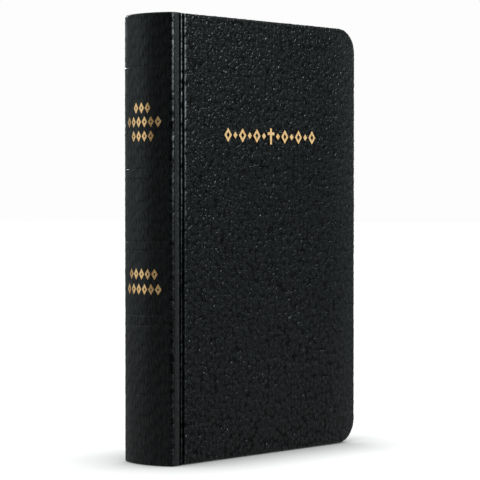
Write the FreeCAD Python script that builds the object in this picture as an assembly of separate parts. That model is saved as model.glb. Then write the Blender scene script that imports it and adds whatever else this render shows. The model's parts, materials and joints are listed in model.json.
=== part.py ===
import FreeCAD, Part
import math
import os

from FreeCAD import Vector

# A small case-bound prayer book, standing on its tail edges.
# +X runs from the spine to the fore-edge, -Y is the front cover, +Z is the head.
# The origin is the middle of the footprint, on the surface that the book stands on.

# ---- driving dimensions, millimetres ----
BOOK_HEIGHT = 146.0
BOOK_WIDTH = 95.6
BOOK_THICKNESS = 22.6

LEATHER = 0.6            # skin on the boards, joints and spine
BOARD = 2.0              # binder's board
LINING = 0.45            # pastedown level: turn-ins, mull flap and pastedown lie within it
MULL = 0.25              # open-weave cloth that ties the text block to a board
SQUARE = 3.0             # how far the boards stand past the pages at head and tail
TURN_IN = 3.5            # width of leather that shows on the inside of a board
BOARD_CORNER = 8.5       # radius of the rounded fore-edge corners
PAGE_CORNER = 6.0

SPINE_BULGE = 3.3        # how far the rounded spine stands out from the ridges
INLAY_HALF_WIDTH = 9.0   # card that stiffens the spine leather
JOINT_WIDTH = 4.9        # ridge to groove, the leather that bends as a board opens
BOARD_INSET = 0.6        # groove to the board's own edge
SEAM = 0.1               # clearance either side of each hinge line

SECTIONS = 23            # sewn sections of 16 thin leaves
TEXT_THICKNESS = 16.0
TEXT_ROUND = 2.5         # depth of the text block's rounded spine
SPINE_HOLLOW = 2.3       # outside of the spine to the text block's spine
PAGE_WIDTH = 87.4
PAGE_AIR = 0.01          # air between one section and the next

FLYLEAF = 0.15
FLYLEAF_FOLD = 3.6       # groove to the line where a flyleaf lifts
FLYLEAF_AIR = 0.03
MULL_WIDTH = 15.0
MULL_END = 8.0           # mull stops this far short of the head and tail

BAND_RADIUS = 0.75       # headband and tailband rolls
BAND_HALF_WIDTH = 7.4
BAND_AIR = 0.02

FOIL = 0.05              # gold foil, pressed flush into the leather
COVER_ROW_X = 2.55       # middle of the row of ornaments on the front cover
COVER_ROW_Z = 107.2
COVER_ROW_PITCH = 3.55
COVER_ROW_SIDE_COUNT = 6
CROSS_SIZE = (3.4, 5.4)  # ornament sizes are width and height
CROSS_BAR = 0.95
CROSS_ARM_DROP = 1 / 3   # the arms' place below the top, as a share of the height
COVER_LOZENGE = (3.6, 4.7)
COVER_BEAD = (2.0, 2.3)
COVER_OPENING = 0.44     # an open lozenge's opening, as a share of its size
SPINE_LOZENGE = (2.25, 3.6)
SPINE_OPENING = 0.3
SPINE_ROW_PITCH = 2.6
SPINE_TITLE_ROWS = ((115.4, 3), (110.9, 6), (106.3, 4))    # height of a row, and its lozenges
SPINE_LOWER_ROWS = ((61.8, 5), (56.9, 6))

# ---- sizes that follow ----
HALF_WIDTH = BOOK_WIDTH / 2
HALF_THICKNESS = BOOK_THICKNESS / 2
RIDGE_X = -HALF_WIDTH + SPINE_BULGE
GROOVE_X = RIDGE_X + JOINT_WIDTH
BOARD_X = GROOVE_X + BOARD_INSET
COVER_DEPTH = LEATHER + BOARD + LINING

SPINE_RADIUS = (HALF_THICKNESS ** 2 + SPINE_BULGE ** 2) / (2 * SPINE_BULGE)
SPINE_CENTRE_X = -HALF_WIDTH + SPINE_RADIUS

TEXT_HALF = TEXT_THICKNESS / 2
TEXT_SPINE_RADIUS = (TEXT_HALF ** 2 + TEXT_ROUND ** 2) / (2 * TEXT_ROUND)
TEXT_SPINE_CENTRE_X = -HALF_WIDTH + SPINE_HOLLOW + TEXT_SPINE_RADIUS
SECTION_PITCH = TEXT_THICKNESS / SECTIONS
PAGE_BOTTOM = SQUARE
PAGE_TOP = BOOK_HEIGHT - SQUARE

FRONT = -1
BACK = 1


def cover_y(side, outer_depth, inner_depth):
    """The lower Y of a layer between two depths below one cover's outer face."""
    return min(side * (HALF_THICKNESS - outer_depth), side * (HALF_THICKNESS - inner_depth))


def strip(side, near_x, far_x, low_z, high_z, outer_depth, inner_depth):
    """A square-cornered layer parallel to a cover."""
    low_y = cover_y(side, outer_depth, inner_depth)
    return box(near_x, far_x, low_y, low_y + inner_depth - outer_depth, low_z, high_z)


def slab(side, near_x, far_x, low_z, high_z, corner, outer_depth, inner_depth):
    """A layer parallel to a cover, with two rounded fore-edge corners."""
    low_tangent = Vector(far_x - corner, 0, low_z)
    low_end = Vector(far_x, 0, low_z + corner)
    high_end = Vector(far_x, 0, high_z - corner)
    high_tangent = Vector(far_x - corner, 0, high_z)
    slope = corner * math.sqrt(0.5)
    low_middle = Vector(far_x - corner + slope, 0, low_z + corner - slope)
    high_middle = Vector(far_x - corner + slope, 0, high_z - corner + slope)
    head = Vector(near_x, 0, high_z)
    tail = Vector(near_x, 0, low_z)
    edges = [
        Part.LineSegment(tail, low_tangent).toShape(),
        Part.Arc(low_tangent, low_middle, low_end).toShape(),
        Part.LineSegment(low_end, high_end).toShape(),
        Part.Arc(high_end, high_middle, high_tangent).toShape(),
        Part.LineSegment(high_tangent, head).toShape(),
        Part.LineSegment(head, tail).toShape(),
    ]
    face = Part.Face(Part.Wire(edges))
    solid = face.extrude(Vector(0, inner_depth - outer_depth, 0))
    solid.translate(Vector(0, cover_y(side, outer_depth, inner_depth), 0))
    return solid


def box(low_x, high_x, low_y, high_y, low_z, high_z):
    return Part.makeBox(high_x - low_x, high_y - low_y, high_z - low_z,
                        Vector(low_x, low_y, low_z))


def upright_ring(centre_x, outer_radius, inner_radius, low_z, high_z):
    """A tube standing on the XY plane, whose -X side follows a rounded spine."""
    foot = Vector(centre_x, 0, low_z)
    outer = Part.makeCylinder(outer_radius, high_z - low_z, foot)
    inner = Part.makeCylinder(inner_radius, high_z - low_z, foot)
    return outer.cut(inner)


def prism(points, direction):
    """A closed outline of corner points, extruded along a direction."""
    wire = Part.makePolygon(points + [points[0]])
    return Part.Face(wire).extrude(direction)


# ---- gold ornaments ----
# An ornament is a pair: its outline, and the outline of its opening or None.
def lozenge(x, z, size, share=1.0):
    """The corners of a lozenge, scaled about its middle."""
    half_width = share * size[0] / 2
    half_height = share * size[1] / 2
    return [(x - half_width, z), (x, z - half_height), (x + half_width, z), (x, z + half_height)]


def latin_cross(x, z):
    """The corners of a plain cross."""
    half_width = CROSS_SIZE[0] / 2
    half_height = CROSS_SIZE[1] / 2
    half_bar = CROSS_BAR / 2
    arm_z = z + half_height - CROSS_ARM_DROP * CROSS_SIZE[1]
    return [
        (x - half_bar, z - half_height), (x + half_bar, z - half_height),
        (x + half_bar, arm_z - half_bar), (x + half_width, arm_z - half_bar),
        (x + half_width, arm_z + half_bar), (x + half_bar, arm_z + half_bar),
        (x + half_bar, z + half_height), (x - half_bar, z + half_height),
        (x - half_bar, arm_z + half_bar), (x - half_width, arm_z + half_bar),
        (x - half_width, arm_z - half_bar), (x - half_bar, arm_z - half_bar),
    ]


def cover_row():
    """A small cross between two runs of beads and open lozenges."""
    ornaments = [(latin_cross(COVER_ROW_X, COVER_ROW_Z), None)]
    for step in range(1, COVER_ROW_SIDE_COUNT + 1):
        for side in (-1, 1):
            x = COVER_ROW_X + side * step * COVER_ROW_PITCH
            if step % 2 == 1:
                ornaments.append((lozenge(x, COVER_ROW_Z, COVER_BEAD), None))
            else:
                opening = lozenge(x, COVER_ROW_Z, COVER_LOZENGE, COVER_OPENING)
                ornaments.append((lozenge(x, COVER_ROW_Z, COVER_LOZENGE), opening))
    return ornaments


def spine_rows(rows):
    """Rows of upright open lozenges, centred on the spine."""
    ornaments = []
    for row_z, count in rows:
        for index in range(count):
            y = (index - (count - 1) / 2) * SPINE_ROW_PITCH
            opening = lozenge(y, row_z, SPINE_LOZENGE, SPINE_OPENING)
            ornaments.append((lozenge(y, row_z, SPINE_LOZENGE), opening))
    return ornaments


def stamp(ornament, place, direction):
    """One ornament extruded along a direction; place turns its corners into points in space."""
    outline, opening = ornament
    plate = prism([place(*corner) for corner in outline], direction)
    if opening:
        plate = plate.cut(prism([place(*corner) for corner in opening], direction))
    return plate


def cover_foil():
    """Foil plates flush with the front cover's outer face."""
    def place(x, z):
        return Vector(x, -HALF_THICKNESS, z)

    return Part.makeCompound([stamp(ornament, place, Vector(0, FOIL, 0)) for ornament in cover_row()])


def spine_foil(rows):
    """Foil plates flush with the rounded spine."""
    def place(y, z):
        return Vector(-BOOK_WIDTH, y, z)

    shell = upright_ring(SPINE_CENTRE_X, SPINE_RADIUS, SPINE_RADIUS - FOIL, 0, BOOK_HEIGHT)
    reach = Vector(BOOK_WIDTH + SPINE_CENTRE_X, 0, 0)
    plates = []
    for ornament in spine_rows(rows):
        plates.extend(stamp(ornament, place, reach).common(shell).Solids)
    return Part.makeCompound(plates)


# ---- case ----
def spine_arc(outer_depth, inner_depth, half_width, low_z, high_z):
    """A strip that follows the spine's curve, between two depths below its outside."""
    ring = upright_ring(SPINE_CENTRE_X, SPINE_RADIUS - outer_depth, SPINE_RADIUS - inner_depth,
                        low_z, high_z)
    return ring.common(box(-HALF_WIDTH, RIDGE_X - SEAM, -half_width, half_width, low_z, high_z))


def spine_inlay():
    return spine_arc(LEATHER, 2 * LEATHER, INLAY_HALF_WIDTH, LEATHER, BOOK_HEIGHT - LEATHER)


def spine_leather(foils):
    """The spine's skin, turned in over the card's head and tail."""
    skin = spine_arc(0, LEATHER, HALF_THICKNESS, 0, BOOK_HEIGHT)
    tail_cap = spine_arc(LEATHER / 2, 2 * LEATHER, INLAY_HALF_WIDTH, 0, LEATHER)
    head_cap = spine_arc(LEATHER / 2, 2 * LEATHER, INLAY_HALF_WIDTH,
                         BOOK_HEIGHT - LEATHER, BOOK_HEIGHT)
    skin = skin.fuse([tail_cap, head_cap]).removeSplitter()
    return skin.cut(foils)


def joint_leather(side):
    """The narrow strip between the ridge and the groove, where a board's skin bends."""
    return strip(side, RIDGE_X + SEAM, GROOVE_X - SEAM, 0, BOOK_HEIGHT, 0, LEATHER)


def board(side):
    return slab(side, BOARD_X, HALF_WIDTH - LEATHER, LEATHER, BOOK_HEIGHT - LEATHER,
                BOARD_CORNER - LEATHER, LEATHER, LEATHER + BOARD)


def pastedown_space(side):
    return slab(side, BOARD_X, HALF_WIDTH - TURN_IN, TURN_IN, BOOK_HEIGHT - TURN_IN,
                BOARD_CORNER - TURN_IN, LEATHER + BOARD, COVER_DEPTH)


def cover_leather(side):
    """The skin of one cover, wrapped round the board's three free edges and turned in."""
    whole = slab(side, GROOVE_X + SEAM, HALF_WIDTH, 0, BOOK_HEIGHT, BOARD_CORNER, 0, COVER_DEPTH)
    hinge_lip = strip(side, GROOVE_X, BOARD_X, 0, BOOK_HEIGHT, LEATHER, COVER_DEPTH)
    return whole.cut([board(side), pastedown_space(side), hinge_lip])


def mull_flap(side):
    return strip(side, BOARD_X, BOARD_X + MULL_WIDTH, MULL_END, BOOK_HEIGHT - MULL_END,
                 LEATHER + BOARD, LEATHER + BOARD + MULL)


def pastedown(side):
    return pastedown_space(side).cut(mull_flap(side))


# ---- text block ----
def text_spine_x(y):
    return TEXT_SPINE_CENTRE_X - math.sqrt(TEXT_SPINE_RADIUS ** 2 - y ** 2)


def section(index):
    """One folded section: a rounded fold at the spine, rounded corners at the fore-edge."""
    low_y = -TEXT_HALF + index * SECTION_PITCH + PAGE_AIR / 2
    high_y = low_y + SECTION_PITCH - PAGE_AIR
    middle_y = (low_y + high_y) / 2
    fold_x = text_spine_x(middle_y)
    fold_radius = (high_y - low_y) / 2
    leaves = slab(FRONT, fold_x + fold_radius, fold_x + PAGE_WIDTH, PAGE_BOTTOM, PAGE_TOP,
                  PAGE_CORNER, HALF_THICKNESS + low_y, HALF_THICKNESS + high_y)
    fold = Part.makeCylinder(fold_radius, PAGE_TOP - PAGE_BOTTOM,
                             Vector(fold_x + fold_radius, middle_y, PAGE_BOTTOM))
    return leaves.fuse(fold).removeSplitter()


def flyleaf(side):
    """The free half of an endpaper, from its fold line to the fore-edge."""
    inner_depth = HALF_THICKNESS - TEXT_HALF - FLYLEAF_AIR
    far_x = text_spine_x(TEXT_HALF) + PAGE_WIDTH
    return slab(side, GROOVE_X + FLYLEAF_FOLD, far_x, PAGE_BOTTOM, PAGE_TOP, PAGE_CORNER,
                inner_depth - FLYLEAF, inner_depth)


def end_band(middle_z):
    """A stuck-on band: a thin roll along the rounded end of the text block's spine."""
    roll_radius = TEXT_SPINE_RADIUS - BAND_RADIUS
    half_sweep = math.degrees(math.asin(BAND_HALF_WIDTH / roll_radius))
    roll = Part.makeTorus(roll_radius, BAND_RADIUS, Vector(0, 0, 0), Vector(0, 0, 1),
                          0, 360, 2 * half_sweep)
    roll.rotate(Vector(0, 0, 0), Vector(0, 0, 1), 180 - half_sweep)
    roll.translate(Vector(TEXT_SPINE_CENTRE_X, 0, middle_z))
    return roll


def build():
    """Every piece of the book, by the name of its node."""
    pieces = {}
    title_foil = spine_foil(SPINE_TITLE_ROWS)
    lower_foil = spine_foil(SPINE_LOWER_ROWS)
    front_foil = cover_foil()
    pieces["spine_upper_ornament"] = title_foil
    pieces["spine_lower_ornament"] = lower_foil
    pieces["cover_ornament"] = front_foil
    pieces["spine_leather"] = spine_leather(title_foil.Solids + lower_foil.Solids)
    pieces["spine_inlay"] = spine_inlay()
    for name, side in (("front", FRONT), ("back", BACK)):
        pieces[name + "_joint_leather"] = joint_leather(side)
        pieces[name + "_cover_leather"] = cover_leather(side)
        pieces[name + "_board"] = board(side)
        pieces[name + "_mull_flap"] = mull_flap(side)
        pieces[name + "_pastedown"] = pastedown(side)
        pieces[name + "_flyleaf"] = flyleaf(side)
    pieces["front_cover_leather"] = pieces["front_cover_leather"].cut(front_foil.Solids)
    for index in range(SECTIONS):
        pieces["section_%02d" % (index + 1)] = section(index)
    pieces["headband"] = end_band(PAGE_TOP + BAND_AIR + BAND_RADIUS)
    pieces["tailband"] = end_band(PAGE_BOTTOM - BAND_AIR - BAND_RADIUS)
    return pieces


os.makedirs("parts", exist_ok=True)
for node, shape in build().items():
    shape.exportStep("parts/" + node + ".step")
    print(node, "valid" if shape.isValid() else "INVALID", len(shape.Solids),
          "solids", round(shape.Volume, 2), "mm3")
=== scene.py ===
import json
import math

import bpy
import numpy as np
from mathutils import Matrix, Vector


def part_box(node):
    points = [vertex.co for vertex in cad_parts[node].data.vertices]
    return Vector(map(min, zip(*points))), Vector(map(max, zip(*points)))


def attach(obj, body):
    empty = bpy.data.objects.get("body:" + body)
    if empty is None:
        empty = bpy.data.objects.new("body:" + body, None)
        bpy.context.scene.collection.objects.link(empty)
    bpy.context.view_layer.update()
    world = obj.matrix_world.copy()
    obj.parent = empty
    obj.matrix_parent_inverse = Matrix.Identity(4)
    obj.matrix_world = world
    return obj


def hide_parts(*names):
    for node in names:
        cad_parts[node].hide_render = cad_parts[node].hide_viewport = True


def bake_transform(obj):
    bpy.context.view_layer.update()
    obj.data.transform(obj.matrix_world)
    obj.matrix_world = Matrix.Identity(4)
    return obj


# The looks of a small black leather-bound prayer book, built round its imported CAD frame.
# Lengths up to the studio are millimetres in the frame's own axes; MM turns them into Blender's metres.
# +X runs from the spine to the fore-edge, -Y is the front cover, +Z is the head.

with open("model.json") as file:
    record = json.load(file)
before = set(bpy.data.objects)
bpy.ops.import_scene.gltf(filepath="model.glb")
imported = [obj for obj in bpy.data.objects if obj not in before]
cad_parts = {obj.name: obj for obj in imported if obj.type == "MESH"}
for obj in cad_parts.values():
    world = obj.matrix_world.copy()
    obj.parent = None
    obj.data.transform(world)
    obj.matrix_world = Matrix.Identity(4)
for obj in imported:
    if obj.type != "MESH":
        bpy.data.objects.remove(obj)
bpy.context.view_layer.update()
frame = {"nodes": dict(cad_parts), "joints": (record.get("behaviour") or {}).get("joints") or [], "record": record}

MM = 0.001
QUARTER = math.pi / 2


def box_mm(node):
    """The lowest and highest corner of a CAD node, in millimetres."""
    low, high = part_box(node)
    return low / MM, high / MM


# ---- places from the frame ----
SPINE_LOW, SPINE_HIGH = box_mm("spine_leather")
COVER_HIGH = box_mm("front_cover_leather")[1]
FIRST_SECTION_LOW = box_mm("section_01")[0]
SECTION_NAMES = sorted(n for n in frame["nodes"] if n.startswith("section_"))

HEIGHT = SPINE_HIGH.z
HALF_THICKNESS = -SPINE_LOW.y
HALF_WIDTH = COVER_HIGH.x
JOINTS = {j["name"]: j for j in frame["joints"]}
RIDGE_X = JOINTS["front_joint_bend"]["pos_m"][0] / MM
GROOVE_X = JOINTS["front_cover_hinge"]["pos_m"][0] / MM
COVER_DEPTH = HALF_THICKNESS + COVER_HIGH.y
BOARD_CORNER = 8.5       # radius of the boards' corners
PAGE_CORNER = 6.0

SPINE_BULGE = RIDGE_X - SPINE_LOW.x
SPINE_RADIUS = (HALF_THICKNESS ** 2 + SPINE_BULGE ** 2) / (2 * SPINE_BULGE)
SPINE_CENTRE_X = SPINE_LOW.x + SPINE_RADIUS

# ---- leather: shape ----
GRID = 0.34              # spacing of the leather's mesh
FINE_GRID = 0.13         # spacing across the joint, where the leather is creased
SPINE_GRID = GRID * 0.75
FIRST_CREASE = 3.4       # ridge to the first crease, where two pieces of leather meet
CREASES_END = 6.3        # ridge to the end of the creased strip
RIDGE_SEAM = 0.9         # the spine's piece ends this far before the fillet
SPINE_INNER_DEPTH = 1.32
HEM_RADIUS, HEM_INNER_RADIUS = 0.9, 0.5
HEM_SHARE, HEM_INNER_SHARE = 0.45, 0.4     # the most of a thin sheet that each of those radii may take
TURN_IN = 3.8
SHEET_RUN = (BOARD_CORNER - HEM_RADIUS + QUARTER * (HEM_RADIUS + HEM_INNER_RADIUS)
             + COVER_DEPTH - HEM_RADIUS - HEM_INNER_RADIUS + TURN_IN - HEM_INNER_RADIUS)

# The spine's arc ends in a small fillet that turns it into the joint. The ridge is on that fillet.
RIDGE_FILLET = 0.8
FILLET_Y = HALF_THICKNESS - RIDGE_FILLET
FILLET_REACH = SPINE_RADIUS - RIDGE_FILLET
FILLET_X = SPINE_CENTRE_X - math.sqrt(FILLET_REACH ** 2 - FILLET_Y ** 2)
FILLET_TURN = math.asin(FILLET_Y / FILLET_REACH)
FILLET_LENGTH = (QUARTER - FILLET_TURN) * RIDGE_FILLET

# Tables across the joint: distance from the ridge against a value.
# Depth below the outer face: a shallow strip, a crease, a thin rib, the deep groove, and the board's edge.
JOINT_PROFILE = (
    (-9.0, 0.0), (0.0, 0.0), (0.25, 0.03), (0.55, 0.22), (0.8, 0.20), (1.1, 0.14), (2.0, 0.10), (2.9, 0.16),
    (3.2, 0.38), (3.4, 0.55), (3.6, 0.40), (3.85, 0.12), (4.1, 0.04), (4.35, 0.22),
    (4.6, 0.85), (4.9, 1.0), (5.15, 0.85), (5.4, 0.25), (5.65, 0.02), (6.1, 0.0), (99.0, 0.0),
)
# Depth of the inner face, where the leather is turned in at the head and tail
INNER_PROFILE = (
    (-9.0, 1.3), (0.0, 1.1), (3.8, 1.1), (4.9, 1.7), (5.6, 3.0), (6.0, COVER_DEPTH), (99.0, COVER_DEPTH),
)
# 1 where the leather is burnished, -1 where it is dull at the bottom of a crease
POLISH_PROFILE = (
    (-9.0, 0.0), (0.6, 0.0), (0.9, 1.0), (2.9, 1.0), (3.1, 0.0), (3.3, -1.0), (3.5, -1.0), (3.75, 0.0),
    (4.35, 0.0), (4.6, -1.0), (5.1, -1.0), (5.4, 0.0), (99.0, 0.0),
)
# Share of the full depth of the grain
GRAIN_PROFILE = (
    (-9.0, 0.3), (-0.6, 0.35), (-0.2, 1.3), (0.25, 1.3), (0.6, 0.10), (2.9, 0.08), (3.6, 0.1), (3.85, 1.0),
    (4.25, 1.0), (4.5, 0.1), (5.3, 0.1), (5.5, 1.3), (5.9, 1.3), (6.3, 1.0), (99.0, 1.0),
)
# How far the ridge, the rib and the board's edge show wear and a painted highlight
RUB_HIGHLIGHT_PROFILE = (
    (-9.0, 0.0), (-0.45, 0.0), (-0.1, 1.0), (0.2, 1.0), (0.5, 0.0), (3.8, 0.0), (4.0, 1.3), (4.25, 1.3),
    (4.4, 0.0), (5.45, 0.0), (5.6, 1.0), (5.85, 1.0), (6.1, 0.0), (99.0, 0.0),
)
RUB_HIGHLIGHT_LOW = 0.08           # share of the wear and painted highlight that is left below the lower fade height
# The wear and painted highlight grow between these heights, strongest towards the head, as a highlight from the
# light above would be
HIGHLIGHT_FADE_LOW, HIGHLIGHT_FADE_HIGH = 60.0, 130.0
RUB_HIGHLIGHT_POWER = 1.5          # keeps the wear and painted highlight to the tops of the grains
HANDLED_WIDTH = 20.0     # strip along the fore-edge that hands have smoothed
HANDLED_POLISH = 0.85    # its polish at the very edge

# ---- leather: grain ----
PEBBLE = 1.65            # size of one grain of the covers' leather
PEBBLE_DEPTH = 0.19
PEBBLE_STRETCH = 1.15    # height of a grain against its width
PEBBLE_WANDER, WANDER_LENGTH = 0.35, 5.0   # how rows of grains stray from straight lines
PEBBLE_CREASE = 0.45     # width of the crease between two grains, in grains
CREASE_LEVEL = 0.45      # height of its bottom
PIT_START, PIT_WIDTH = 0.35, 0.45          # the pits where grains' corners meet, in grains
SMALL_PEBBLE = 0.42      # size of the small grains that lie on the large ones, as a share of theirs
SMALL_CREASE, SMALL_DOME = 0.7, 0.5
SMALL_SHARE = 0.3        # their share of the relief
LEVEL_CHANGE, LEVEL_LENGTH = 0.2, 3.0      # how some patches of grain lie lower than others
TURN_IN_GRAIN = 0.15     # share of the grain that is left where the leather is pasted down

PRESSED_GRAIN = 1.1      # width of a grain on the spine, where it was ironed flat
PRESSED_DEPTH = 0.055
PRESSED_STRETCH = 3
PRESSED_CREASE = 0.5
PRESSED_WANDER, PRESSED_WANDER_LENGTH = 0.25, 4.0
STREAK_WIDTH, STREAK_STRETCH = 1.3, 4

# ---- leather: finish ----
PATCH_SHARE = 0.4        # how much slow noise changes the roughness, next to the grain's 1
# Light grey painted on the joint's high edges: a little wear, mostly a painted highlight
RUB_AND_HIGHLIGHT_COLOUR = (0.36, 0.38, 0.39, 1)
RUB_AND_HIGHLIGHT_GLOSS = 0.5
POLISHED_ROUGHNESS = 0.24
POLISHED_GLOSS = 0.34
POLISHED_CALM = 0.8      # how far polishing flattens the fine domes

# ---- leather: tooling ----
# Blind lines across the spine: height above the tail. Close pairs edge a slightly raised band.
BLIND_LINES = (128.9, 95.8, 92.4, 72.2, 69.3, 48.4, 45.2, 22.7)
BLIND_BANDS = ((95.8, 92.4), (72.2, 69.3), (48.4, 45.2))
BLIND_LINE_HALF_WIDTH = 0.3
BLIND_LINE_DEPTH = 0.07
BLIND_LINE_ROWS = np.linspace(-0.4, 0.4, 7)    # rows of mesh across a line
BLIND_BAND_HEIGHT = 0.05
BLIND_BAND_SLOPE = 0.4

# ---- paper and thread ----
LEAF_LAYERS = 8          # layers of leaves shown in a section
LEAF_GAP = 0.012         # half the height of the step between two layers, in half sections
LEAF_UNEVEN = 0.04
SECTION_UNEVEN = 0.10
SECTION_SEED = 500
CORNER_STEPS = 10
PAPER_ROWS = 2.0         # spacing of the sheets' rows up the book
FLYLEAF_GRID = 1.0
FLYLEAF_START = 1.0      # the flyleaf starts this far in front of the first section's fold
FLYLEAF_SHARE = 0.8      # its thickness, as a share of its CAD node's
FLYLEAF_WAVE, FLYLEAF_WAVE_LENGTH, FLYLEAF_SEED = 0.01, 40.0, 71
# The hinge lining's way across the joint: distance from the ridge or the groove, and depth
LINING_FROM_RIDGE = ((0.3, 1.15), (1.5, 1.15), (2.7, 1.15), (3.6, 1.2))
LINING_FROM_GROOVE = (
    (-0.5, 1.5), (0.0, 1.78), (0.35, 2.2), (0.5, 2.6), (0.75, 2.95), (1.2, 3.07), (2.5, 3.08),
)
LINING_GRID = 0.25
LINING_THICKNESS = 0.12
STITCH_PITCH = 0.46
STITCH_TUBE = 0.23       # radius of the thread
STITCH_LEAN = 0.12
LOOP_STEPS, TUBE_STEPS = 14, 6
STRIPE_STITCHES = 3      # stitches of one colour side by side
END_BAND_SAG = 2.17      # how far the ends of a band lie in front of its middle


def profile(table, x):
    """The value at x, on straight lines between a table's (place, value) rows."""
    places = np.array([row[0] for row in table])
    values = np.array([row[1] for row in table])
    return np.interp(x, places, values)


def smooth(t):
    t = np.clip(t, 0, 1)
    return t * t * (3 - 2 * t)


def steps(low, high, size):
    """Even places from low to high, about size apart."""
    return np.linspace(low, high, max(2, round((high - low) / size) + 1))


# ---- numbers for the grain ----
def lattice_distances(u, v, size, seed):
    """Distance from each point to the nearest and second nearest of scattered dots, in grains."""
    rng = np.random.default_rng(seed)
    gu, gv = u / size, v / size
    iu, iv = np.floor(gu).astype(int), np.floor(gv).astype(int)
    low_u, low_v = iu.min() - 2, iv.min() - 2
    shape = (iu.max() - low_u + 3, iv.max() - low_v + 3)
    dot_u = rng.uniform(0.08, 0.92, shape)
    dot_v = rng.uniform(0.08, 0.92, shape)
    nearest = np.full(u.shape, 9.0)
    second = np.full(u.shape, 9.0)
    for du in (-1, 0, 1):
        for dv in (-1, 0, 1):
            ku, kv = iu + du, iv + dv
            cell = (ku - low_u, kv - low_v)
            distance = np.hypot(ku + dot_u[cell] - gu, kv + dot_v[cell] - gv)
            second = np.minimum(second, np.maximum(nearest, distance))
            nearest = np.minimum(nearest, distance)
    return nearest, second


def ripple(u, v, size, seed):
    """A slow, smooth wander between about -1 and 1."""
    rng = np.random.default_rng(seed)
    total = np.zeros(u.shape)
    waves = 7
    for _ in range(waves):
        angle, phase = rng.uniform(0, math.tau, 2)
        length = size * rng.uniform(0.6, 1.7)
        total += np.sin((u * math.cos(angle) + v * math.sin(angle)) * math.tau / length + phase)
    return total / math.sqrt(waves)


def pebbles(u, v, seed):
    """Height of pebbled leather, 0 in the pits between grains and 1 on the tallest grains."""
    wander_u = u + PEBBLE_WANDER * ripple(u, v, WANDER_LENGTH, seed + 1)
    wander_v = (v + PEBBLE_WANDER * ripple(u, v, WANDER_LENGTH, seed + 2)) / PEBBLE_STRETCH
    near, second = lattice_distances(wander_u, wander_v, PEBBLE, seed)
    crease = smooth((second - near) / PEBBLE_CREASE)
    pit = smooth((near - PIT_START) / PIT_WIDTH)
    grain = (CREASE_LEVEL + (1 - CREASE_LEVEL) * crease) * (1 - pit)
    near, second = lattice_distances(wander_u, wander_v, PEBBLE * SMALL_PEBBLE, seed + 3)
    small = smooth((second - near) / SMALL_CREASE) * (1 - SMALL_DOME * np.clip(near, 0, 1) ** 2)
    level = 1 - LEVEL_CHANGE + LEVEL_CHANGE * ripple(u, v, LEVEL_LENGTH, seed + 4)
    return np.clip(((1 - SMALL_SHARE) * grain + SMALL_SHARE * small) * level, 0, 1)


def pressed_grain(u, v, seed):
    """Height of leather whose grain was ironed flat, drawn out along the spine."""
    wander_u = u + PRESSED_WANDER * ripple(u, v, PRESSED_WANDER_LENGTH, seed + 1)
    near, second = lattice_distances(wander_u, v / PRESSED_STRETCH, PRESSED_GRAIN, seed)
    streaks = 0.5 + 0.5 * ripple(wander_u, v / STREAK_STRETCH, STREAK_WIDTH, seed + 4)
    return np.clip(0.5 * smooth((second - near) / PRESSED_CREASE) + 0.5 * streaks, 0, 1)


# ---- meshes ----
def grid_quads(rows, columns):
    """Faces of a grid of vertices, row by row."""
    corner = np.arange(rows * columns).reshape(rows, columns)
    quads = np.stack([corner[:-1, :-1], corner[1:, :-1], corner[1:, 1:], corner[:-1, 1:]], axis=-1)
    return quads.reshape(-1, 4).tolist()


def mesh_object(name, points, faces, material, flip=False, flat=False):
    """A mesh from points in millimetres, smooth unless it is to be flat."""
    if flip:
        faces = [face[::-1] for face in faces]
    mesh = bpy.data.meshes.new(name)
    mesh.from_pydata((np.asarray(points).reshape(-1, 3) * MM).tolist(), [], faces)
    mesh.polygons.foreach_set("use_smooth", [not flat] * len(mesh.polygons))
    mesh.update()
    mesh.materials.append(material)
    obj = bpy.data.objects.new(name, mesh)
    bpy.context.scene.collection.objects.link(obj)
    return obj


def paint(obj, name, values):
    """Keeps one number per vertex for the material to read."""
    layer = obj.data.attributes.new(name, "FLOAT", "POINT")
    layer.data.foreach_set("value", np.asarray(values, np.float32).ravel())


# ---- the leather's sheets ----
def wrapped(run, depth):
    """Leather that runs out along a face, round its edge and back along the inside, depth below.
    Returns its reach, its depth, and the two parts of its outward normal."""
    outer_radius = np.minimum(HEM_RADIUS, HEM_SHARE * depth)
    inner_radius = np.minimum(HEM_INNER_RADIUS, HEM_INNER_SHARE * depth)
    flat = BOARD_CORNER - outer_radius
    side_start = flat + QUARTER * outer_radius
    inner_start = side_start + depth - outer_radius - inner_radius
    back_start = inner_start + QUARTER * inner_radius
    bend = (run - flat) / outer_radius
    inner_bend = (run - inner_start) / inner_radius
    stages = [run < flat, run < side_start, run < inner_start, run < back_start]
    zero = np.zeros_like(run)
    one = np.ones_like(run)
    reach = np.select(stages, [run, flat + outer_radius * np.sin(bend), BOARD_CORNER + zero,
                               BOARD_CORNER - inner_radius * (1 - np.cos(inner_bend))],
                      BOARD_CORNER - inner_radius - (run - back_start))
    deep = np.select(stages, [zero, outer_radius * (1 - np.cos(bend)), outer_radius + run - side_start,
                              depth - inner_radius + inner_radius * np.sin(inner_bend)], depth)
    along = np.select(stages, [zero, np.sin(bend), one, np.cos(inner_bend)], zero)
    outward = np.select(stages, [one, np.cos(bend), zero, -np.sin(inner_bend)], -one)
    return reach, deep, along, outward


def rows_up_the_book():
    """Places along the leather from the tail's turn-in to the head's."""
    return steps(BOARD_CORNER - SHEET_RUN, HEIGHT - BOARD_CORNER + SHEET_RUN, GRID)


def past_the_ends(v):
    """The nearest height that is clear of the head and tail edges, and how far v is past it."""
    core_z = np.clip(v, BOARD_CORNER, HEIGHT - BOARD_CORNER)
    return core_z, v - core_z


def pebble_depth(from_ridge, outward):
    """Depth of the pebbled grain: flat in the joint's strip, nearly flat where it is pasted down."""
    return PEBBLE_DEPTH * profile(GRAIN_PROFILE, from_ridge) * np.where(outward < -0.5, TURN_IN_GRAIN, 1.0)


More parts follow.
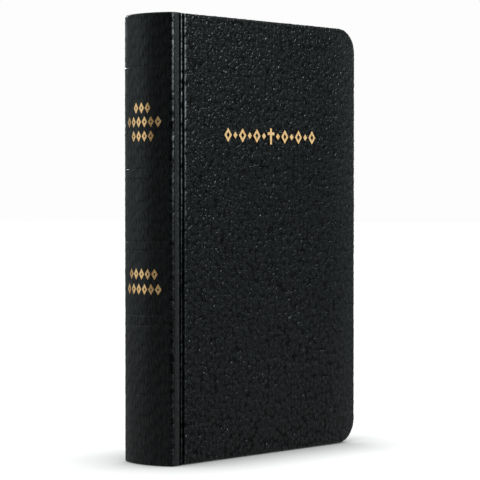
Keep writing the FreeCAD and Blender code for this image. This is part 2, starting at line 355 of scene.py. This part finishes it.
def paint_leather(skin, height, polish, from_ridge, z):
    """Grain, polish, and the wear of the joint's high edges with a painted highlight, most of all near the head.
    """
    near_head = smooth((z - HIGHLIGHT_FADE_LOW) / (HIGHLIGHT_FADE_HIGH - HIGHLIGHT_FADE_LOW))
    # Painted highlight with a little wear, strongest towards the head and on the grains' tops
    rubbing_and_highlight = profile(RUB_HIGHLIGHT_PROFILE, from_ridge) * (RUB_HIGHLIGHT_LOW + (1 - RUB_HIGHLIGHT_LOW) * near_head)
    paint(skin, "grain", height)
    paint(skin, "polish", polish)
    paint(skin, "rub_and_highlight", rubbing_and_highlight * height ** RUB_HIGHLIGHT_POWER)


def cover_skin(side, name, seed):
    """One cover's leather: from the crease, through the groove, over the board and round its edges."""
    core_x = HALF_WIDTH - BOARD_CORNER
    fine = steps(RIDGE_X + FIRST_CREASE, RIDGE_X + CREASES_END, FINE_GRID)
    coarse = steps(RIDGE_X + CREASES_END, core_x + SHEET_RUN, GRID)
    u, v = np.meshgrid(np.concatenate([fine, coarse[1:]]), rows_up_the_book())
    flat_x = np.minimum(u, core_x)
    beyond_x = np.maximum(u - core_x, 0)
    core_z, beyond_z = past_the_ends(v)
    span = 2 * SHEET_RUN ** 2
    round_x = beyond_x * np.sqrt(1 - beyond_z ** 2 / span)
    round_z = beyond_z * np.sqrt(1 - beyond_x ** 2 / span)
    run = np.hypot(round_x, round_z)
    length = np.maximum(run, 1e-9)
    from_ridge = u - RIDGE_X
    dip = profile(JOINT_PROFILE, from_ridge)
    depth = profile(INNER_PROFILE, from_ridge) - dip
    reach, deep, along, outward = wrapped(run, depth)
    height = pebbles(flat_x + round_x, core_z + round_z, seed)
    sink = pebble_depth(from_ridge, outward) * (1 - height)
    x = flat_x + round_x / length * (reach - along * sink)
    y = side * (HALF_THICKNESS - dip - deep - outward * sink)
    z = core_z + round_z / length * (reach - along * sink)
    skin = mesh_object(name, np.stack([x, y, z], -1), grid_quads(*u.shape), LEATHER, flip=side > 0)
    handled = np.clip((u - HALF_WIDTH) / HANDLED_WIDTH + 1, 0, 1) ** 2
    paint_leather(skin, height, profile(POLISH_PROFILE, from_ridge) + HANDLED_POLISH * handled, from_ridge, v)
    return skin


def case_section(along):
    """The case's outline across the spine, against the length along it from the fillet's start
    (negative on the spine): place, outward normal, and distance from the ridge."""
    stages = [along < 0, along < FILLET_LENGTH]
    turns = [FILLET_TURN + along / SPINE_RADIUS, FILLET_TURN + along / RIDGE_FILLET]
    angle = np.select(stages, turns, QUARTER)
    centre_x = np.where(along < 0, SPINE_CENTRE_X, FILLET_X)
    centre_y = np.where(along < 0, 0.0, FILLET_Y)
    radius = np.where(along < 0, SPINE_RADIUS, RIDGE_FILLET)
    past = np.maximum(along - FILLET_LENGTH, 0)
    x = centre_x - radius * np.cos(angle) + past
    y = centre_y + radius * np.sin(angle)
    from_ridge = np.where(x > RIDGE_X, x - RIDGE_X, along - FILLET_LENGTH / 2)
    return x, y, -np.cos(angle), np.sin(angle), from_ridge


def ridge_skin(side, name, seed):
    """The narrow leather from the rounded ridge to the first crease of the joint."""
    end = FILLET_LENGTH + RIDGE_X + FIRST_CREASE - FILLET_X
    u, v = np.meshgrid(steps(-RIDGE_SEAM, end, FINE_GRID), rows_up_the_book())
    x, y, normal_x, normal_y, from_ridge = case_section(u)
    dip = profile(JOINT_PROFILE, from_ridge)
    depth = profile(INNER_PROFILE, from_ridge) - dip
    core_z, beyond_z = past_the_ends(v)
    reach, deep, along, outward = wrapped(np.abs(beyond_z), depth)
    height = pebbles(x, v, seed)
    sink = pebble_depth(from_ridge, outward) * (1 - height)
    inward = dip + deep + outward * sink
    z = core_z + np.sign(beyond_z) * (reach - along * sink)
    points = np.stack([x - normal_x * inward, side * (y - normal_y * inward), z], -1)
    skin = mesh_object(name, points, grid_quads(*u.shape), LEATHER, flip=side > 0)
    paint_leather(skin, height, profile(POLISH_PROFILE, from_ridge), from_ridge, v)
    return skin


def spine_relief(z):
    """Depth of the spine's tooling below its outer face."""
    sink = np.full(z.shape, BLIND_BAND_HEIGHT)
    for high, low in BLIND_BANDS:
        inside = smooth((z - low) / BLIND_BAND_SLOPE) * smooth((high - z) / BLIND_BAND_SLOPE)
        sink -= BLIND_BAND_HEIGHT * inside
    for line in BLIND_LINES:
        near = np.clip(np.abs(z - line) / BLIND_LINE_HALF_WIDTH, 0, 1)
        sink += BLIND_LINE_DEPTH * (1 - near ** 2)
    return sink


def spine_skin(name, seed):
    """The leather on the rounded spine, turned in at the head and tail."""
    half = FILLET_TURN * SPINE_RADIUS - RIDGE_SEAM
    rows = np.sort(np.concatenate([rows_up_the_book()] + [line + BLIND_LINE_ROWS for line in BLIND_LINES]))
    u, v = np.meshgrid(steps(-half, half, SPINE_GRID), rows)
    angle = u / SPINE_RADIUS
    core_z, beyond_z = past_the_ends(v)
    reach, deep, along, outward = wrapped(np.abs(beyond_z), np.full(u.shape, SPINE_INNER_DEPTH))
    height = pressed_grain(u, v, seed)
    sink = PRESSED_DEPTH * (1 - height) + spine_relief(v) * (outward > 0.5)
    radius = SPINE_RADIUS - (deep + outward * sink)
    z = core_z + np.sign(beyond_z) * (reach - along * sink)
    points = np.stack([SPINE_CENTRE_X - radius * np.cos(angle), radius * np.sin(angle), z], -1)
    skin = mesh_object(name, points, grid_quads(*u.shape), SPINE_LEATHER, flip=True)
    paint(skin, "grain", height)
    return skin


# ---- materials ----
def node_material(name):
    """An empty procedural material: its nodes, its links and its shader."""
    material = bpy.data.materials.new(name)
    material.use_nodes = True
    nodes, links = material.node_tree.nodes, material.node_tree.links
    return material, nodes, links, nodes["Principled BSDF"]


def add_node(nodes, kind, inputs=None, **settings):
    node = nodes.new(kind)
    for key, value in settings.items():
        setattr(node, key, value)
    for key, value in (inputs or {}).items():
        node.inputs[key].default_value = value
    return node


def ramp(nodes, stops):
    """A colour ramp from (place, colour) stops."""
    node = nodes.new("ShaderNodeValToRGB")
    elements = node.color_ramp.elements
    while len(elements) < len(stops):
        elements.new(0.5)
    for element, (place, colour) in zip(elements, stops):
        element.position = place
        element.color = (*colour, 1)
    return node


def math_node(nodes, links, operation, *terms):
    """A maths node fed by sockets or plain numbers; returns its result."""
    node = add_node(nodes, "ShaderNodeMath", operation=operation)
    for slot, term in zip(node.inputs, terms):
        if isinstance(term, bpy.types.NodeSocket):
            links.new(term, slot)
        else:
            slot.default_value = term
    return node.outputs["Value"]


def leather_material(name, colours, roughness, gloss, dome, dome_height):
    """Dyed leather: dull and dark in the creases, where the darkness is painted shade, glossy on the grain, which
    is covered in fine domes, with a painted highlight on the joint's high edges.
    Its colours, roughness and gloss are (in the creases, on the grain) pairs."""
    material, nodes, links, shader = node_material(name)
    place = add_node(nodes, "ShaderNodeTexCoord").outputs["Object"]
    grain = add_node(nodes, "ShaderNodeAttribute", attribute_name="grain").outputs["Fac"]
    polish = add_node(nodes, "ShaderNodeAttribute", attribute_name="polish").outputs["Fac"]
    rub_and_highlight = add_node(nodes, "ShaderNodeAttribute", attribute_name="rub_and_highlight").outputs["Fac"]
    patches = add_node(nodes, "ShaderNodeTexNoise", {"Scale": 60.0, "Detail": 3.0})
    links.new(place, patches.inputs["Vector"])

    # Painted shade: creases and pits get a far darker colour than the grain's tops; the grain's random height
    # changes add some tone
    colour = ramp(nodes, ((0.1, colours[0]), (0.9, colours[1])))
    links.new(grain, colour.inputs["Fac"])
    # A light grey mixed into the colour on the joint's high edges: a little wear, mostly a painted highlight
    worn_and_highlight = add_node(nodes, "ShaderNodeMix", data_type="RGBA")
    worn_and_highlight.inputs["B"].default_value = RUB_AND_HIGHLIGHT_COLOUR
    links.new(rub_and_highlight, worn_and_highlight.inputs["Factor"])
    links.new(colour.outputs["Color"], worn_and_highlight.inputs["A"])
    links.new(worn_and_highlight.outputs["Result"], shader.inputs["Base Color"])

    rough = add_node(nodes, "ShaderNodeMapRange", {"From Min": 0.15, "From Max": 1.0,
                                                   "To Min": roughness[0], "To Max": roughness[1]})
    patchy = math_node(nodes, links, "MULTIPLY_ADD", patches.outputs["Fac"], PATCH_SHARE, grain)
    links.new(patchy, rough.inputs["Value"])
    smoother = POLISHED_ROUGHNESS - roughness[1]
    level = math_node(nodes, links, "MULTIPLY_ADD", polish, smoother, rough.outputs["Result"])
    links.new(level, shader.inputs["Roughness"])
    shine = math_node(nodes, links, "MULTIPLY_ADD", grain, gloss[1] - gloss[0], gloss[0])
    polished = math_node(nodes, links, "MULTIPLY_ADD", polish, POLISHED_GLOSS, shine)
    shine_with_highlight = math_node(nodes, links, "MULTIPLY_ADD", rub_and_highlight, RUB_AND_HIGHLIGHT_GLOSS, polished)
    links.new(shine_with_highlight, shader.inputs["Specular IOR Level"])

    domes = add_node(nodes, "ShaderNodeTexVoronoi", {"Scale": 1 / (dome * MM)})
    links.new(place, domes.inputs["Vector"])
    fall = math_node(nodes, links, "MULTIPLY", domes.outputs["Distance"], domes.outputs["Distance"])
    height = math_node(nodes, links, "MULTIPLY_ADD", fall, -1.0, 1.0)
    relief = add_node(nodes, "ShaderNodeBump", {"Strength": 1.0, "Distance": dome_height * MM})
    calm = math_node(nodes, links, "MULTIPLY_ADD", polish, -POLISHED_CALM, 1.0)
    links.new(math_node(nodes, links, "MULTIPLY", height, calm), relief.inputs["Height"])
    links.new(relief.outputs["Normal"], shader.inputs["Normal"])
    return material


def noise_material(name, dark, light, scale, roughness, bump, stretch=(1, 1, 1)):
    """Colour and relief from one noise, drawn out along the axes by stretch."""
    material, nodes, links, shader = node_material(name)
    place = add_node(nodes, "ShaderNodeTexCoord")
    mapping = add_node(nodes, "ShaderNodeMapping")
    mapping.inputs["Scale"].default_value = stretch
    noise = add_node(nodes, "ShaderNodeTexNoise", {"Scale": scale, "Detail": 6.0, "Roughness": 0.6})
    colour = ramp(nodes, ((0.3, dark), (0.7, light)))
    relief = add_node(nodes, "ShaderNodeBump", {"Strength": 0.6, "Distance": bump * MM})
    links.new(place.outputs["Object"], mapping.inputs["Vector"])
    links.new(mapping.outputs["Vector"], noise.inputs["Vector"])
    links.new(noise.outputs["Fac"], colour.inputs["Fac"])
    links.new(colour.outputs["Color"], shader.inputs["Base Color"])
    links.new(noise.outputs["Fac"], relief.inputs["Height"])
    links.new(relief.outputs["Normal"], shader.inputs["Normal"])
    shader.inputs["Roughness"].default_value = roughness
    return material


def gold_material():
    """Hot-stamped foil: bright gold, thinner and browner in places."""
    material, nodes, links, shader = node_material("gold_foil")
    place = add_node(nodes, "ShaderNodeTexCoord")
    wear = add_node(nodes, "ShaderNodeTexNoise", {"Scale": 1800.0, "Detail": 5.0, "Roughness": 0.7})
    colour = ramp(nodes, ((0.30, (0.62, 0.24, 0.06)), (0.42, (1.0, 0.54, 0.20)), (0.60, (1.0, 0.70, 0.36))))
    relief = add_node(nodes, "ShaderNodeBump", {"Strength": 0.5, "Distance": 0.03 * MM})
    links.new(place.outputs["Object"], wear.inputs["Vector"])
    links.new(wear.outputs["Fac"], colour.inputs["Fac"])
    links.new(colour.outputs["Color"], shader.inputs["Base Color"])
    links.new(wear.outputs["Fac"], relief.inputs["Height"])
    links.new(relief.outputs["Normal"], shader.inputs["Normal"])
    shader.inputs["Metallic"].default_value = 0.75
    shader.inputs["Roughness"].default_value = 0.22
    return material


# The first colour of each pair, in the creases, is far darker: painted shade
LEATHER = leather_material(
    "cover_leather", ((0.0002, 0.0003, 0.0003), (0.0024, 0.0040, 0.0046)),
    roughness=(0.45, 0.21), gloss=(0.07, 0.50), dome=0.8, dome_height=0.17)
SPINE_LEATHER = leather_material(
    "spine_leather", ((0.0006, 0.0009, 0.0010), (0.0030, 0.0046, 0.0052)),
    roughness=(0.48, 0.36), gloss=(0.18, 0.41), dome=0.6, dome_height=0.04)
GOLD = gold_material()
PAPER = noise_material("page_paper", (0.72, 0.66, 0.52), (0.88, 0.83, 0.70), 18.0, 0.85, 0.03, (1, 420, 1))
ENDPAPER = noise_material("endpaper", (0.80, 0.75, 0.63), (0.86, 0.82, 0.71), 700.0, 0.9, 0.01)
CARD = noise_material("binders_board", (0.30, 0.26, 0.21), (0.45, 0.40, 0.33), 500.0, 0.95, 0.05, (1, 1, 0.4))
CLOTH = noise_material("mull_cloth", (0.66, 0.62, 0.52), (0.82, 0.79, 0.69), 1500.0, 0.95, 0.05)
BAND_CREAM = noise_material("band_cream", (0.75, 0.70, 0.58), (0.90, 0.86, 0.76), 2500.0, 0.6, 0.02)
BAND_RED = noise_material("band_red", (0.16, 0.015, 0.015), (0.30, 0.035, 0.03), 2500.0, 0.6, 0.02)


def dress_node(node, material):
    """Gives a CAD node its finish."""
    mesh = frame["nodes"][node].data
    mesh.materials.clear()
    mesh.materials.append(material)


def build_case():
    spine = spine_skin("spine_skin", 11)
    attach(spine, "case_spine")
    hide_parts("spine_leather")
    for name, side, seed in (("front", -1, 21), ("back", 1, 31)):
        ridge = ridge_skin(side, name + "_ridge_skin", seed)
        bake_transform(ridge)
        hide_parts(name + "_joint_leather")
        cover = cover_skin(side, name + "_cover_skin", seed)
        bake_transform(cover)
        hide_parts(name + "_cover_leather")


# ---- the text block ----
def rounded_outline(near_x, far_x, low_z, high_z):
    """Points of a leaf's outline: fold side straight, fore-edge corners round."""
    points = [(near_x, high_z), (near_x, low_z)]
    arc_x = far_x - PAGE_CORNER
    for start, arc_z in ((-QUARTER, low_z + PAGE_CORNER), (0.0, high_z - PAGE_CORNER)):
        for step in range(CORNER_STEPS + 1):
            angle = start + QUARTER * step / CORNER_STEPS
            points.append((arc_x + PAGE_CORNER * math.cos(angle), arc_z + PAGE_CORNER * math.sin(angle)))
    return np.array(points)


def section_leaves(node, index):
    """One folded section: leaves lie a hair unevenly at the three cut edges and round the fold."""
    low, high = box_mm(node)
    rng = np.random.default_rng(SECTION_SEED + index)
    middle = (low.y + high.y) / 2
    half = (high.y - low.y) / 2
    set_back = rng.uniform(0, SECTION_UNEVEN)
    rings = []
    for layer in range(LEAF_LAYERS + 1):
        share = layer / LEAF_LAYERS * 2 - 1
        outermost = layer in (0, LEAF_LAYERS)
        levels = (share,) if outermost else (share - LEAF_GAP, share + LEAF_GAP)
        for level in levels:
            tuck = set_back + (LEAF_UNEVEN if outermost else rng.uniform(0, LEAF_UNEVEN))
            fold = low.x + half - math.sqrt(max(half ** 2 - (level * half) ** 2, 0.0))
            outline = rounded_outline(fold, high.x - tuck, low.z + tuck, high.z - tuck)
            across = np.full(len(outline), middle + level * half)
            rings.append(np.column_stack([outline[:, 0], across, outline[:, 1]]))
    count = len(rings[0])
    faces = [list(range(count))[::-1]]
    for base in range(0, (len(rings) - 1) * count, count):
        for k in range(count):
            following = (k + 1) % count
            faces.append([base + k, base + following, base + count + following, base + count + k])
    faces.append([(len(rings) - 1) * count + k for k in range(count)])
    return mesh_object(node + "_leaves", np.concatenate(rings), faces, PAPER, flat=True)


def build_text_block():
    owner = {}
    for body, members in frame["record"]["behaviour"]["bodies"].items():
        for member in members:
            owner[member] = body
    for index, node in enumerate(SECTION_NAMES):
        block = section_leaves(node, index)
        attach(block, owner[node])
        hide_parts(node)


def flyleaf_sheet(side, name):
    """A free endpaper, from the shoulder of the text block to the fore-edge, with a faint wave."""
    low, high = box_mm(name)
    start_x = FIRST_SECTION_LOW.x + FLYLEAF_START
    thickness = (high.y - low.y) * FLYLEAF_SHARE
    u, v = np.meshgrid(steps(start_x, high.x, FLYLEAF_GRID), steps(low.z, high.z, PAPER_ROWS))
    corner_u = np.maximum(u - (high.x - PAGE_CORNER), 0)
    corner_v = v - np.clip(v, low.z + PAGE_CORNER, high.z - PAGE_CORNER)
    span = 2 * PAGE_CORNER ** 2
    x = u - corner_u + corner_u * np.sqrt(1 - corner_v ** 2 / span)
    z = v - corner_v + corner_v * np.sqrt(1 - corner_u ** 2 / span)
    middle = (low.y + high.y) / 2
    wave = FLYLEAF_WAVE * ripple(x, z, FLYLEAF_WAVE_LENGTH, FLYLEAF_SEED)
    outer = np.stack([x, middle + side * thickness / 2 + wave, z], -1)
    inner = np.stack([x, middle - side * thickness / 2 + wave, z], -1)
    rows, columns = u.shape
    count = rows * columns
    quads = grid_quads(rows, columns)
    faces = quads + [[k + count for k in reversed(q)] for q in quads]
    border = ([k for k in range(columns)] + [r * columns + columns - 1 for r in range(1, rows)]
              + [(rows - 1) * columns + k for k in range(columns - 2, -1, -1)]
              + [r * columns for r in range(rows - 2, 0, -1)])
    for a, b in zip(border, border[1:] + border[:1]):
        faces.append([a, a + count, b + count, b])
    points = np.concatenate([outer.reshape(-1, 3), inner.reshape(-1, 3)])
    return mesh_object(name + "_sheet", points, faces, ENDPAPER, flip=side > 0)


def build_endpapers():
    for name, side, leaves in (("front", -1, "leaves_01"), ("back", 1, "leaves_23")):
        dress_node(name + "_pastedown", ENDPAPER)
        sheet = flyleaf_sheet(side, name + "_flyleaf")
        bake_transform(sheet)
        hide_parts(name + "_flyleaf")


def hinge_lining(side, name):
    """Endpaper that lines the inside of a joint, down the board's near edge and over its face."""
    path = np.array([(RIDGE_X + offset, depth) for offset, depth in LINING_FROM_RIDGE]
                    + [(GROOVE_X + offset, depth) for offset, depth in LINING_FROM_GROOVE])
    along = np.concatenate([[0], np.cumsum(np.hypot(*np.diff(path, axis=0).T))])
    places = steps(0, along[-1], LINING_GRID)
    x = np.interp(places, along, path[:, 0])
    deep = np.interp(places, along, path[:, 1])
    u, v = np.meshgrid(np.arange(len(places)), steps(TURN_IN, HEIGHT - TURN_IN, PAPER_ROWS))
    points = np.stack([x[u], side * (HALF_THICKNESS - deep[u]), v], -1)
    lining = mesh_object(name, points, grid_quads(*u.shape), ENDPAPER, flip=side < 0)
    thick = lining.modifiers.new("thickness", "SOLIDIFY")
    thick.thickness = LINING_THICKNESS * MM
    thick.offset = 1.0
    return lining


def build_linings():
    for name, side in (("front", -1), ("back", 1)):
        lining = hinge_lining(side, name + "_hinge_lining")
        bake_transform(lining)


def end_band(node, name):
    """A sewn band: loops of thread in two colours round a core that follows the text block's spine."""
    low, high = box_mm(node)
    core_radius = (high.z - low.z) / 2 - STITCH_TUBE
    half = (high.y - low.y) / 2
    middle_z = (low.z + high.z) / 2
    bow = (half ** 2 + END_BAND_SAG ** 2) / (2 * END_BAND_SAG)
    crest_x = low.x + core_radius + STITCH_TUBE
    count = int(2 * half / STITCH_PITCH)
    up = Vector((0, 0, 1))
    points, faces, tints = [], [], []
    for stitch in range(count):
        y = (stitch - (count - 1) / 2) * STITCH_PITCH
        angle = math.asin(y / bow)
        centre = Vector((crest_x + bow * (1 - math.cos(angle)), y, middle_z))
        outward = Vector((-math.cos(angle), math.sin(angle), 0))
        sideways = Vector((math.sin(angle), math.cos(angle), 0))
        base = len(points)
        for a in range(LOOP_STEPS):
            turn = math.tau * a / LOOP_STEPS
            spoke = outward * math.cos(turn) + up * math.sin(turn)
            lean = sideways * STITCH_LEAN * math.sin(turn)
            for t in range(TUBE_STEPS):
                roll = math.tau * t / TUBE_STEPS
                reach = core_radius + STITCH_TUBE * math.cos(roll)
                points.append(centre + (spoke * reach + sideways * STITCH_TUBE * math.sin(roll)) + lean)
        for a in range(LOOP_STEPS):
            near, far = base + a * TUBE_STEPS, base + (a + 1) % LOOP_STEPS * TUBE_STEPS
            for t in range(TUBE_STEPS):
                following = (t + 1) % TUBE_STEPS
                faces.append([near + t, far + t, far + following, near + following])
                tints.append(stitch // STRIPE_STITCHES % 2)
    band = mesh_object(name, np.array(points), faces, BAND_CREAM)
    band.data.materials.append(BAND_RED)
    band.data.polygons.foreach_set("material_index", tints)
    return band


def build_end_bands():
    for node in ("headband", "tailband"):
        band = end_band(node, node + "_stitches")
        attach(band, "text_middle")
        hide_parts(node)


def dress_cad_nodes():
    for node in ("spine_upper_ornament", "spine_lower_ornament", "cover_ornament"):
        dress_node(node, GOLD)
    dress_node("spine_inlay", CARD)
    for name in ("front", "back"):
        dress_node(name + "_board", CARD)
        dress_node(name + "_mull_flap", CLOTH)


# ---- studio, in metres and watts ----
FLOOR_HALF_WIDTH = 6.0
FLOOR_LIGHT = 0.7        # what dull surfaces get from the floor
TENT_LIGHT = 0.62        # what they get from the world round the book
WHITE = (1, 1, 1, 1)
COOL = (0.86, 0.97, 1.0)
CAMERA_PLACE = (-0.5034, -0.4586, 0.0852)
CAMERA_HEADING = (0.739, 0.674)
CAMERA_TILT = math.radians(-1.1)
# Each light's name, place, target, width and height, and power. The back has lights of its own.
LIGHTS = (
    ("back_left_soft", (-0.50, 0.58, 0.12), (-0.04, 0, 0.08), (0.5, 0.8), 1.02),
    ("back_soft", (-0.06, 0.80, 0.10), (-0.04, 0, 0.08), (0.3, 0.8), 0.26),
    ("left_fill", (-0.95, 0.0, 0.12), (-0.04, 0, 0.07), (0.45, 0.8), 0.10),
    ("front_key", (0.51, -1.245, 0.733), (0, 0, 0.08), (0.13, 0.13), 9.0),
    ("front_right_soft", (0.65, -0.585, 0.10), (0.02, 0, 0.08), (0.16, 0.7), 0.40),
    ("back_key", (0.51, 1.245, 0.45), (0, 0, 0.08), (0.13, 0.13), 9.0),
    ("back_right_soft", (0.65, 0.585, 0.10), (0.02, 0, 0.08), (0.16, 0.7), 0.40),
)


def floor_material():
    """Pale paper that glows evenly, with a painted contact shadow where the book stands close above it.
    In reflections it is only a low sheen round the book, as a matt table's would be."""
    material, nodes, links, shader = node_material("floor_paper")
    shader.inputs["Base Color"].default_value = (0.1, 0.1, 0.1, 1)
    shader.inputs["Roughness"].default_value = 1.0
    shader.inputs["Specular IOR Level"].default_value = 0.0
    shader.inputs["Emission Color"].default_value = WHITE
    # Painted shadow: ambient occlusion darkens the floor under and beside the book
    shadow_closeness = add_node(nodes, "ShaderNodeAmbientOcclusion", {"Distance": 0.03}, samples=16)
    glow_with_painted_shadow = add_node(nodes, "ShaderNodeMapRange",
                    {"From Min": 0.35, "From Max": 1.0, "To Min": 0.15, "To Max": 0.96})
    links.new(shadow_closeness.outputs["AO"], glow_with_painted_shadow.inputs["Value"])
    away = add_node(nodes, "ShaderNodeVectorMath", operation="LENGTH")
    links.new(add_node(nodes, "ShaderNodeTexCoord").outputs["Object"], away.inputs[0])
    sheen = add_node(nodes, "ShaderNodeMapRange",
                     {"From Min": 0.15, "From Max": 0.5, "To Min": 0.22, "To Max": 0.05})
    links.new(away.outputs["Value"], sheen.inputs["Value"])
    path = add_node(nodes, "ShaderNodeLightPath").outputs
    seen = math_node(nodes, links, "MULTIPLY", path["Is Camera Ray"], glow_with_painted_shadow.outputs["Result"])
    mirrored = math_node(nodes, links, "MULTIPLY_ADD", path["Is Glossy Ray"], sheen.outputs["Result"], seen)
    strength = math_node(nodes, links, "MULTIPLY_ADD", path["Is Diffuse Ray"], FLOOR_LIGHT, mirrored)
    links.new(strength, shader.inputs["Emission Strength"])
    return material


def studio_floor():
    mesh = bpy.data.meshes.new("floor")
    edge = FLOOR_HALF_WIDTH
    corners = [(-edge, -edge, 0), (edge, -edge, 0), (edge, edge, 0), (-edge, edge, 0)]
    mesh.from_pydata(corners, [], [(0, 1, 2, 3)])
    floor = bpy.data.objects.new("floor", mesh)
    bpy.context.scene.collection.objects.link(floor)
    mesh.materials.append(floor_material())
    floor.visible_shadow = False


def studio_world():
    """White behind the book. It lights dull surfaces as a white tent would,
    and shows in glossy ones as a dim room with a pale ceiling."""
    world = bpy.data.worlds.new("studio")
    world.use_nodes = True
    bpy.context.scene.world = world
    nodes, links = world.node_tree.nodes, world.node_tree.links
    seen = nodes["Background"]
    seen.inputs["Color"].default_value = WHITE
    seen.inputs["Strength"].default_value = 0.98
    direction = add_node(nodes, "ShaderNodeSeparateXYZ")
    links.new(add_node(nodes, "ShaderNodeTexCoord").outputs["Generated"], direction.inputs["Vector"])
    ceiling = add_node(nodes, "ShaderNodeMapRange",
                       {"From Min": 0.1, "From Max": 0.9, "To Min": 0.035, "To Max": 0.5})
    links.new(direction.outputs["Z"], ceiling.inputs["Value"])
    path = add_node(nodes, "ShaderNodeLightPath").outputs
    lit = add_node(nodes, "ShaderNodeBackground")
    lit.inputs["Color"].default_value = (0.90, 0.98, 1.0, 1)
    room = ceiling.outputs["Result"]
    tent = math_node(nodes, links, "MULTIPLY_ADD", path["Is Diffuse Ray"], TENT_LIGHT, room)
    links.new(tent, lit.inputs["Strength"])
    mix = add_node(nodes, "ShaderNodeMixShader")
    links.new(path["Is Camera Ray"], mix.inputs["Fac"])
    links.new(lit.outputs["Background"], mix.inputs[1])
    links.new(seen.outputs["Background"], mix.inputs[2])
    links.new(mix.outputs["Shader"], nodes["World Output"].inputs["Surface"])


def studio_camera():
    data = bpy.data.cameras.new("camera")
    data.lens = 150.0
    data.sensor_width = 36.0
    data.clip_start, data.clip_end = 0.01, 50.0
    camera = bpy.data.objects.new("camera", data)
    camera.location = CAMERA_PLACE
    heading_x, heading_y = CAMERA_HEADING
    level = math.cos(CAMERA_TILT)
    sight = Vector((heading_x * level, heading_y * level, math.sin(CAMERA_TILT)))
    camera.rotation_euler = sight.to_track_quat("-Z", "Y").to_euler()
    bpy.context.scene.collection.objects.link(camera)
    bpy.context.scene.camera = camera


def area_light(name, place, target, size, power):
    data = bpy.data.lights.new(name, "AREA")
    data.shape = "RECTANGLE"
    data.size, data.size_y = size
    data.energy = power
    data.color = COOL
    light = bpy.data.objects.new(name, data)
    light.location = place
    light.rotation_euler = (Vector(target) - Vector(place)).to_track_quat("-Z", "Y").to_euler()
    light.visible_camera = False
    bpy.context.scene.collection.objects.link(light)


def build_studio():
    studio_floor()
    studio_world()
    studio_camera()
    for light in LIGHTS:
        area_light(*light)
    bpy.context.scene.view_settings.view_transform = "Standard"


build_case()
build_text_block()
build_endpapers()
build_linings()
build_end_bands()
dress_cad_nodes()
build_studio()
